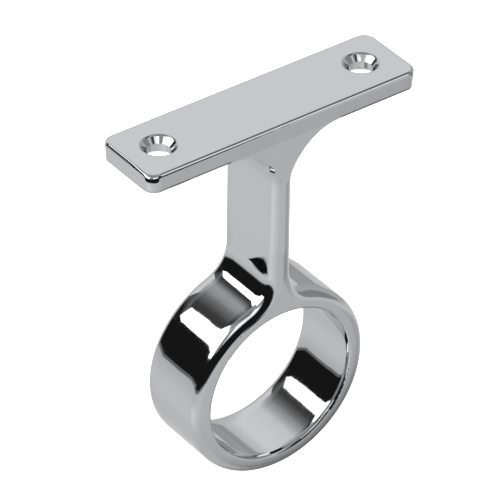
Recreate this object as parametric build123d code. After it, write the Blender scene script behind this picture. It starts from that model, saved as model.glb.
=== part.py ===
"""Tube centre support, one chrome-plated casting: a screw plate, a flared stem and a ring for the tube.

Frame: the screw plate's top face is z = 0 and faces up, the plate runs along X, the tube runs along Y.
"""
from build123d import *
import math
import os

os.makedirs("parts", exist_ok=True)

# Ring that carries the tube, with a rounded lip at both mouths of its bore
tube_diameter = 25.0
tube_play = 0.5
ring_wall = 2.85
axis_drop = 46.7
lip_front = 0.35
lip_back = 0.9

# Screw plate, its sides leaning in by the draft of the casting
plate_length = 47.8
plate_width = 12.5
plate_thickness = 3.0
plate_corner = 2.0
plate_edge = 0.55
plate_draft = 3.0

# Stem between plate and ring
stem_thickness = 3.5
flare_radius = 8.0
blend_radius = 5.5
front_rounding = 1.65
back_rounding = 0.8

# Two screw holes, countersunk from both faces
screw_spacing = 36.0
screw_clearance = 3.5
screw_head = 5.4
countersink_angle = 90.0

bore_radius = (tube_diameter + tube_play) / 2
ring_radius = bore_radius + ring_wall
half_width = plate_width / 2 - plate_thickness * math.tan(math.radians(plate_draft))
half_stem = stem_thickness / 2
plate_middle = -plate_thickness / 2
lowest = -axis_drop - ring_radius


def below(edges, height):
    return [edge for edge in edges if edge.center().Z < height - 0.01]


# Stem and solid ring, joined by a concave blend on each side
with BuildPart() as stem:
    with BuildSketch(Plane.XZ.offset(-half_width)):
        with Locations((0, -axis_drop)):
            Circle(ring_radius)
        with Locations((0, (plate_middle - axis_drop) / 2)):
            Rectangle(stem_thickness, axis_drop + plate_middle)
    extrude(amount=2 * half_width)
    fillet(below(stem.edges().filter_by(Axis.Y), plate_middle), blend_radius)

    # The front outline is well rounded, the back outline only slightly
    front_face = stem.faces().sort_by(Axis.Y)[0]
    fillet(below(front_face.edges(), plate_middle), front_rounding)
    back_face = stem.faces().sort_by(Axis.Y)[-1]
    fillet(below(back_face.edges(), plate_middle), back_rounding)

    # Flare under the plate, rolled around the rounded stem on an oversize slab
    slab_margin = flare_radius + 4
    with Locations((0, 0, plate_middle)):
        Box(2 * (half_stem + slab_margin), 2 * (half_width + slab_margin), plate_thickness)
    root_loop = [
        edge
        for edge in stem.edges()
        if abs(edge.center().Z + plate_thickness) < 0.001
        and abs(edge.center().X) < half_stem + 0.01
        and abs(edge.center().Y) < half_width + 0.01
    ]
    fillet(root_loop, flare_radius)

    # Front and back of the flare are flush with the stem and with the plate's lower edges
    with Locations((0, 0, (lowest - 1 + plate_middle) / 2)):
        Box(
            2 * (ring_radius + 1),
            2 * half_width,
            plate_middle - lowest + 1,
            mode=Mode.INTERSECT,
        )

with BuildPart() as support:
    # Screw plate
    with BuildSketch(Plane(origin=(0, 0, 0), x_dir=(1, 0, 0), z_dir=(0, 0, -1))):
        RectangleRounded(plate_length, plate_width, plate_corner)
    extrude(amount=plate_thickness, taper=plate_draft)
    fillet(support.faces().sort_by(Axis.Z)[-1].edges(), plate_edge)

    # Screw holes, sunk from the top face and again from the underside
    underside = Location((0, 0, -plate_thickness), (180, 0, 0))
    for face in (Location((0, 0, 0)), underside):
        with Locations(face):
            with GridLocations(screw_spacing, 0, 2, 1):
                CounterSinkHole(
                    screw_clearance / 2,
                    screw_head / 2,
                    counter_sink_angle=countersink_angle,
                )

    add(stem.part)

    # Bore for the tube
    with Locations(Location((0, 0, -axis_drop), (90, 0, 0))):
        Cylinder(bore_radius, 2 * half_width + 2, mode=Mode.SUBTRACT)
    mouths = [
        edge
        for edge in support.edges().filter_by(GeomType.CIRCLE)
        if abs(edge.radius - bore_radius) < 0.001
    ]
    fillet([edge for edge in mouths if edge.center().Y < 0], lip_front)
    mouths = [
        edge
        for edge in support.edges().filter_by(GeomType.CIRCLE)
        if abs(edge.radius - bore_radius) < 0.001 and edge.center().Y > half_width - 0.01
    ]
    fillet(mouths, lip_back)

support.part.label = "tube_support"
export_step(support.part, "parts/tube_support.step")
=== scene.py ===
import math

import bpy
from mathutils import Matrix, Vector

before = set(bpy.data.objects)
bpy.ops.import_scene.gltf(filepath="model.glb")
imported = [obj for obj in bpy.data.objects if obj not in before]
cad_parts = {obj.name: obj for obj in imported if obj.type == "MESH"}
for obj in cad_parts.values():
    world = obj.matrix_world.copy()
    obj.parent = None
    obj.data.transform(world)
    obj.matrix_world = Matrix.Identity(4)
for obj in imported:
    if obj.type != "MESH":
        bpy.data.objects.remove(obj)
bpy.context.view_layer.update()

# The bracket is one zinc die casting, ground and buffed before plating. Screw plate, flared stem and
# tube ring run into each other without a seam, and the whole skin is bright chrome over nickel.
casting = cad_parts["tube_support"]
chrome = bpy.data.materials.new("bright chrome plate")
chrome.use_nodes = True
nodes, links = chrome.node_tree.nodes, chrome.node_tree.links
skin = nodes["Principled BSDF"]
skin.inputs["Metallic"].default_value = 1.0
place = nodes.new("ShaderNodeTexCoord").outputs["Object"]


def ramp(along, start, end, low=0.0, high=1.0, smooth=True):
    step = nodes.new("ShaderNodeMapRange")
    step.interpolation_type = "SMOOTHSTEP" if smooth else "LINEAR"
    step.inputs["From Min"].default_value = start
    step.inputs["From Max"].default_value = end
    step.inputs["To Min"].default_value = low
    step.inputs["To Max"].default_value = high
    links.new(along, step.inputs["Value"])
    return step.outputs["Result"]


# Buffing leaves faint long clouds in the shine, a little duller and a little warmer than the rest.
clouds = nodes.new("ShaderNodeTexNoise")
clouds.inputs["Scale"].default_value = 90.0
clouds.inputs["Detail"].default_value = 3.0
links.new(place, clouds.inputs["Vector"])
dullness = ramp(clouds.outputs["Fac"], 0.35, 0.75, low=0.03, high=0.08, smooth=False)
links.new(dullness, skin.inputs["Roughness"])
tint = nodes.new("ShaderNodeMix")
tint.data_type = "RGBA"
cool, warm, mixed = tint.inputs[6], tint.inputs[7], tint.outputs[2]
cool.default_value = (0.545, 0.550, 0.570, 1.0)
warm.default_value = (0.535, 0.538, 0.545, 1.0)
links.new(clouds.outputs["Fac"], tint.inputs[0])
links.new(mixed, skin.inputs["Base Color"])

# Grinding and buffing leave no face quite flat. What follows turns the skin by some degrees where the
# wheel has ridden over a rim, and each turn is read off the place on the casting, in metres.


def number(operation, first, second=0.0):
    step = nodes.new("ShaderNodeMath")
    step.operation = operation
    for socket, value in zip(step.inputs, (first, second)):
        if isinstance(value, float):
            socket.default_value = value
        else:
            links.new(value, socket)
    return step.outputs[0]


def product(*factors):
    result = factors[0]
    for factor in factors[1:]:
        result = number("MULTIPLY", result, factor)
    return result


def direction(x=None, y=None, z=None):
    step = nodes.new("ShaderNodeCombineXYZ")
    for socket, value in zip(step.inputs, (x, y, z)):
        if value is not None:
            links.new(value, socket)
    return step.outputs[0]


def vector_step(operation, *values, output="Vector"):
    step = nodes.new("ShaderNodeVectorMath")
    step.operation = operation
    for socket, value in zip(step.inputs, values):
        links.new(value, socket)
    return step.outputs[output]


position = nodes.new("ShaderNodeSeparateXYZ")
links.new(place, position.inputs[0])
x, y, z = position.outputs
beside, before = number("ABSOLUTE", x), number("ABSOLUTE", y)
axis_drop = 0.0467
from_axis = direction(x=x, z=number("ADD", z, axis_drop))
off_axis = vector_step("LENGTH", from_axis, output="Value")
lip_inside, lip_outside = 0.0130, 0.0136
below_flare = ramp(z, -0.016, -0.026)
near_plate = ramp(z, -0.02, -0.01)

# Stem and ring turn down over the last millimetres of their width, front and back, but in the front
# mouth of the bore only close to its lip.
outer_turn = product(
    ramp(y, -0.0035, -0.0058, high=-0.2, smooth=False),
    ramp(off_axis, lip_inside, lip_outside),
)
mouth_turn = product(
    ramp(y, -0.0047, -0.0059, high=-0.24, smooth=False),
    ramp(off_axis, lip_outside, lip_inside),
)
back_turn = ramp(y, 0.0035, 0.0058, high=0.2, smooth=False)
front_turn = number("ADD", outer_turn, mouth_turn)
over_rim = direction(y=product(number("ADD", front_turn, back_turn), below_flare))

# The front of the ring leans outwards, the more so the further it is from the bore and the stem.
ring_lean = product(
    ramp(off_axis, 0.013, 0.0145, low=0.03, high=0.12, smooth=False),
    ramp(z, -0.036, -0.054),
    ramp(y, -0.005, -0.006),
)
outwards = nodes.new("ShaderNodeVectorMath")
outwards.operation = "SCALE"
links.new(vector_step("NORMALIZE", from_axis), outwards.inputs[0])
links.new(ring_lean, outwards.inputs["Scale"])

# The plate's four upper corners are rounded off well before the edge itself. Its lower edges, outside
# the flare, are just broken, and the upper edge at its ends is flatter than a true round, but for the
# last bit before the front.
corner_along, corner_across = 0.0219, 0.00425
corner = number(
    "MINIMUM",
    number("SUBTRACT", beside, corner_along),
    number("SUBTRACT", before, corner_across),
)
corner_turn = product(ramp(corner, 0.0, 0.0009), ramp(z, -0.0016, -0.0008, high=0.52))
edge_turn = product(
    ramp(beside, 0.0095, 0.0105),
    near_plate,
    ramp(z, -0.0026, -0.003, high=-0.6),
)
end_turn = product(
    ramp(beside, 0.0234, 0.02355, high=-0.32),
    ramp(y, -0.004, -0.001),
    ramp(z, -0.0004, -0.0002),
)

# The sides of the stem face down a little just above the blends.
foot_turn = product(
    ramp(beside, 0.003, 0.0024),
    ramp(z, -0.0215, -0.0235, high=-0.055),
    ramp(z, -0.029, -0.0272),
)
up_or_down = corner_turn
for turn in (edge_turn, end_turn, foot_turn):
    up_or_down = number("ADD", up_or_down, turn)

# The rims of the two screw holes have lost their burr.
hole_offset, mouth_radius, burr_width, burr_depth = 0.018, 0.0027, 0.00022, -1000.0
from_hole = direction(x=number("SUBTRACT", beside, hole_offset), y=y)
from_hole = vector_step("LENGTH", from_hole, output="Value")
to_rim = number("ABSOLUTE", number("SUBTRACT", from_hole, mouth_radius))
broken = number("MAXIMUM", number("SUBTRACT", burr_width, to_rim), 0.0)
rims = nodes.new("ShaderNodeBump")
rims.inputs["Distance"].default_value = 1.0
sunk = product(number("POWER", broken, 2.0), near_plate, burr_depth)
links.new(sunk, rims.inputs["Height"])

facing = rims.outputs["Normal"]
for turn in (over_rim, outwards.outputs[0], direction(z=up_or_down)):
    facing = vector_step("ADD", facing, turn)
facing = vector_step("NORMALIZE", facing)

# The plated surface follows the slightly wavy casting under it.
waves = nodes.new("ShaderNodeTexNoise")
waves.inputs["Scale"].default_value = 260.0
waves.inputs["Detail"].default_value = 1.0
links.new(place, waves.inputs["Vector"])
relief = nodes.new("ShaderNodeBump")
relief.inputs["Strength"].default_value = 0.12
relief.inputs["Distance"].default_value = 0.0002
links.new(waves.outputs["Fac"], relief.inputs["Height"])
links.new(facing, relief.inputs["Normal"])
links.new(relief.outputs["Normal"], skin.inputs["Normal"])
casting.data.materials[0] = chrome

# The photograph looks down on the plate from the front left, from far off through a long lens. Place,
# turn and length of the lens come from fitting the bracket's outline.
lens = bpy.data.cameras.new("long lens")
lens.lens = 348.43
lens.sensor_width = 36.0
lens.clip_start = 0.01
lens.clip_end = 50.0
camera = bpy.data.objects.new("camera", lens)
bpy.context.scene.collection.objects.link(camera)
camera.location = (-0.345884, -0.455289, 0.388421)
camera.rotation_euler = [math.radians(turn) for turn in (54.0694, -0.7225, -36.573)]
bpy.context.scene.camera = camera
bpy.context.scene.view_settings.view_transform = "Standard"

# Pale floor. The camera sees it burnt out to white, the chrome sees the table instead.
bpy.ops.mesh.primitive_plane_add(size=20.0, location=(0.0, 0.0, -0.7))
floor = bpy.context.object
floor.name = "white floor"
floor.visible_glossy = False
paint = bpy.data.materials.new("white floor")
paint.use_nodes = True
coat = paint.node_tree.nodes["Principled BSDF"]
coat.inputs["Emission Color"].default_value = (1.0, 1.0, 1.0, 1.0)
coat.inputs["Emission Strength"].default_value = 1.2
floor.data.materials.append(paint)


# Everything round the bracket is seen only as a reflection in the chrome, so its surfaces take no
# light:
# the light and shade on each is painted as an even glow to every side. How bright they are is read off
# a curve.
def make_glow(board, name):
    board.name = name
    board.visible_camera = False
    cloth = bpy.data.materials.new(name)
    cloth.use_nodes = True
    surface = cloth.node_tree.nodes["Principled BSDF"]
    surface.inputs["Base Color"].default_value = (0.0, 0.0, 0.0, 1.0)
    surface.inputs["Specular IOR Level"].default_value = 0.0
    surface.inputs["Emission Color"].default_value = (1.0, 1.0, 1.0, 1.0)
    board.data.materials.append(cloth)
    return cloth.node_tree, surface.inputs["Emission Strength"]


def brightness_curve(tree, steps, along, handle="AUTO"):
    fade = tree.nodes.new("ShaderNodeFloatCurve")
    fade.mapping.use_clip = False
    curve = fade.mapping.curves[0]
    curve.points[0].location, curve.points[1].location = steps[0], steps[-1]
    for step in steps[1:-1]:
        curve.points.new(*step)
    for point in curve.points:
        point.handle_type = handle
    fade.mapping.update()
    tree.links.new(along, fade.inputs["Value"])
    return fade.outputs["Value"]


# Table the bracket hangs over, the light grey sheet that fills the plate's front, the stem and the
# lower half of the ring. Its light and shade are painted into its glow: painted shade right under the
# bracket, lightest a little way out from it, painted shadow where things keep the light off and a
# painted pool of light on the left. Each place is named with its centre and its fall-off.
bpy.ops.mesh.primitive_plane_add(size=14.0, location=(0.0, 0.0, -0.69))
table = bpy.context.object
tree, strength = make_glow(table, "table")
plan = tree.nodes.new("ShaderNodeTexCoord")
painted_light_and_shade_under_bracket = (
    (0.0, 0.76), (0.38, 0.77), (0.6, 0.81), (0.8, 0.87), (1.05, 0.89),
    (1.4, 0.88), (1.9, 0.84), (3.4, 0.76), (7.0, 0.72),
)
# Painted shadows on the right, painted shade far right, at the back and at the front, and a painted
# pool of light on the left.
shadow_front_right = ((0.0, 0.42), (0.12, 0.47), (0.22, 0.72), (0.32, 0.94), (0.45, 1.0), (7.0, 1.0))
shadow_right = ((0.0, 0.36), (0.2, 0.42), (0.32, 0.75), (0.45, 0.97), (0.6, 1.0), (7.0, 1.0))
painted_shade_far_right = ((0.0, 0.68), (0.3, 0.73), (0.5, 0.95), (0.65, 1.0), (7.0, 1.0))
painted_light_left = ((0.0, 1.22), (0.15, 1.18), (0.4, 1.08), (0.75, 1.0), (7.0, 1.0))
painted_shade_back = ((0.0, 0.80), (0.3, 0.84), (0.7, 1.0), (7.0, 1.0))
painted_shade_front = ((0.0, 0.88), (0.5, 0.90), (0.9, 1.0), (7.0, 1.0))
# The painted light and shade of all patches, multiplied together, drive the table's glow.
painted_table_light = None
for centre, steps in (
    ((0.0, 0.0), painted_light_and_shade_under_bracket),
    ((0.47, -0.33), shadow_front_right),
    ((0.43, 0.08), shadow_right),
    ((0.95, -0.42), painted_shade_far_right),
    ((-0.9, -0.12), painted_light_left),
    ((0.1, 1.0), painted_shade_back),
    ((0.25, -1.05), painted_shade_front),
):
    spread = tree.nodes.new("ShaderNodeVectorMath")
    spread.operation = "DISTANCE"
    tree.links.new(plan.outputs["Object"], spread.inputs[0])
    spread.inputs[1].default_value = (*centre, 0.0)
    level = brightness_curve(tree, steps, spread.outputs["Value"], "AUTO_CLAMPED")
    if painted_table_light is None:
        painted_table_light = level
        continue
    both = tree.nodes.new("ShaderNodeMath")
    both.operation = "MULTIPLY"
    tree.links.new(painted_table_light, both.inputs[0])
    tree.links.new(level, both.inputs[1])
    painted_table_light = both.outputs[0]
tree.links.new(painted_table_light, strength)


# Lamps, cloths and boards stand in a ring round the bracket, each one a flat sheet between four
# directions, given in degrees from its lower left corner round to its upper left. A sheet glows in
# steps from left to right or from bottom to top, so its border can be hard or soft. On the cloths and
# boards these steps are painted light and shade.
def sheet(name, corners, distance, along, steps):
    bpy.ops.mesh.primitive_plane_add(size=1.0)
    board = bpy.context.object
    middle_of_bracket = Vector((0.0, 0.0, -0.045))
    for spot, (azimuth, elevation) in zip((0, 1, 3, 2), corners):
        turn, lift = math.radians(azimuth), math.radians(elevation)
        level = math.cos(lift)
        away = Vector((math.sin(turn) * level, math.cos(turn) * level, math.sin(lift)))
        board.data.vertices[spot].co = middle_of_bracket + away * distance
    tree, strength = make_glow(board, name)
    grid = tree.nodes.new("ShaderNodeTexCoord")
    split = tree.nodes.new("ShaderNodeSeparateXYZ")
    tree.links.new(grid.outputs["UV"], split.inputs[0])
    across = split.outputs["X" if along == "azimuth" else "Y"]
    tree.links.new(brightness_curve(tree, steps, across, "VECTOR"), strength)


# Black cloth behind and beside the camera. It draws the dark bands round the ring, and its grey hem
# draws the thin line along their lower edge.
cloth_steps = ((0.0, 0.05), (0.03, 0.013), (1.0, 0.013))
hem_height = 3.4
hem_steps = (
    (0.0, 0.74), (0.2, 0.62), (0.34, 0.12), (0.5, 0.12), (0.58, 0.26), (0.95, 0.26), (1.0, 0.02),
)
for left, right, low_left, low_right, top_left, top_right in (
    (-200, -165, -11, -11, 38, 36),
    (-165, -135, -11, -10, 36, 30),
    (-135, -105, -10, -9, 30, 25),
    (-105, -70, -9, -6, 25, 24),
    (-70, -34, -6, -4, 24.7, 24.7),
    (-34, -28, -4, -3, 20, 14),
    (150, 161, -22, -20, 10, 30),
):
    low = (left, low_left), (right, low_right)
    top = (right, top_right), (left, top_left)
    foot = (left, low_left - hem_height), (right, low_right - hem_height)
    sheet("black cloth", (*low, *top), 0.7, "elevation", cloth_steps)
    sheet("cloth hem", (*foot, *low[::-1]), 0.7, "elevation", hem_steps)

# Large white softbox high on the left, in two parts, with its dark frame above it and to its right,
# and a streaky reflector to its left.
sheet(
    "softbox", ((-112, 25), (-72, 24.7), (-72, 58), (-108, 54)), 0.69,
    "azimuth", ((0.0, 0.5), (0.15, 2.6), (1.0, 2.6)),
)
sheet(
    "softbox", ((-72, 24.7), (-35.5, 24.7), (-35.5, 50), (-72, 58)), 0.69,
    "azimuth", ((0.0, 2.6), (1.0, 2.6)),
)
sheet(
    "streaky reflector", ((-136, 24), (-109, 24), (-107, 55), (-136, 58)), 0.7,
    "azimuth", ((0.0, 0.2), (0.4, 0.5), (0.6, 0.3), (1.0, 0.5)),
)
sheet(
    "lamp over the camera", ((-184, 40), (-140, 42), (-140, 58), (-184, 57)), 0.69,
    "azimuth", ((0.0, 1.3), (0.5, 1.6), (0.9, 2.6), (1.0, 2.0)),
)
sheet(
    "lamp housing", ((146, 36), (177, 36), (180, 60), (142, 60)), 0.7,
    "azimuth", ((0.0, 0.7), (0.4, 0.3), (0.62, 0.06), (1.0, 0.06)),
)
sheet(
    "softbox frame", ((-175, 58.5), (-60, 57), (-60, 66), (-175, 66)), 0.71,
    "azimuth", ((0.0, 0.15), (1.0, 0.15)),
)
sheet(
    "softbox frame", ((-35.5, 17), (-19, 12), (-13, 43), (-35.5, 34)), 0.68,
    "elevation", ((0.0, 0.05), (0.1, 0.02), (0.35, 0.02), (0.6, 0.12), (1.0, 0.25)),
)

# Boards behind the bracket and on its right, from dark grey to pale. The grey one lies between the two
# white bands on the left of the ring, and the others are seen in the bore and behind the stem.
sheet(
    "grey board", ((-35.5, 32), (2, 41), (16, 58), (-35.5, 58)), 0.7,
    "azimuth",
    (
        (0.0, 0.05), (0.2, 0.08), (0.33, 0.18), (0.45, 0.27),
        (0.58, 0.47), (0.72, 0.6), (0.8, 0.72), (1.0, 0.95),
    ),
)
sheet(
    "low board right", ((25, -32), (62, -32), (62, -10), (25, -10)), 0.8,
    "azimuth", ((0.0, 0.78), (0.3, 0.68), (1.0, 0.78)),
)
sheet(
    "dark board right", ((82, 46), (137, 46), (137, 63), (78, 63)), 0.7,
    "azimuth", ((0.0, 0.12), (1.0, 0.2)),
)
sheet(
    "small lamp right", ((137, 20), (152, 20), (152, 44), (137, 44)), 0.7,
    "azimuth", ((0.0, 1.3), (1.0, 1.3)),
)
sheet(
    "right wall", ((44, -7), (140, -8), (134, 60), (64, 60)), 0.9,
    "azimuth",
    (
        (0.0, 0.72), (0.06, 0.5), (0.12, 0.46), (0.25, 0.58),
        (0.6, 0.66), (0.7, 0.36), (1.0, 0.42),
    ),
)

# The rest of the room is pale, brightest half way up the back wall and dim at the ceiling.
room = bpy.data.worlds.new("pale room")
room.use_nodes = True
sky = room.node_tree
look = sky.nodes.new("ShaderNodeTexCoord")
height = sky.nodes.new("ShaderNodeSeparateXYZ")
sky.links.new(look.outputs["Generated"], height.inputs[0])
room_steps = (
    (-0.1, 0.69), (0.2, 0.76), (0.4, 0.86), (0.59, 1.05), (0.75, 1.0), (0.85, 0.7), (1.0, 0.4),
)
backdrop = sky.nodes["Background"]
room_level = brightness_curve(sky, room_steps, height.outputs["Z"])
sky.links.new(room_level, backdrop.inputs["Strength"])
backdrop.inputs["Color"].default_value = (1.0, 1.0, 1.0, 1.0)
bpy.context.scene.world = room
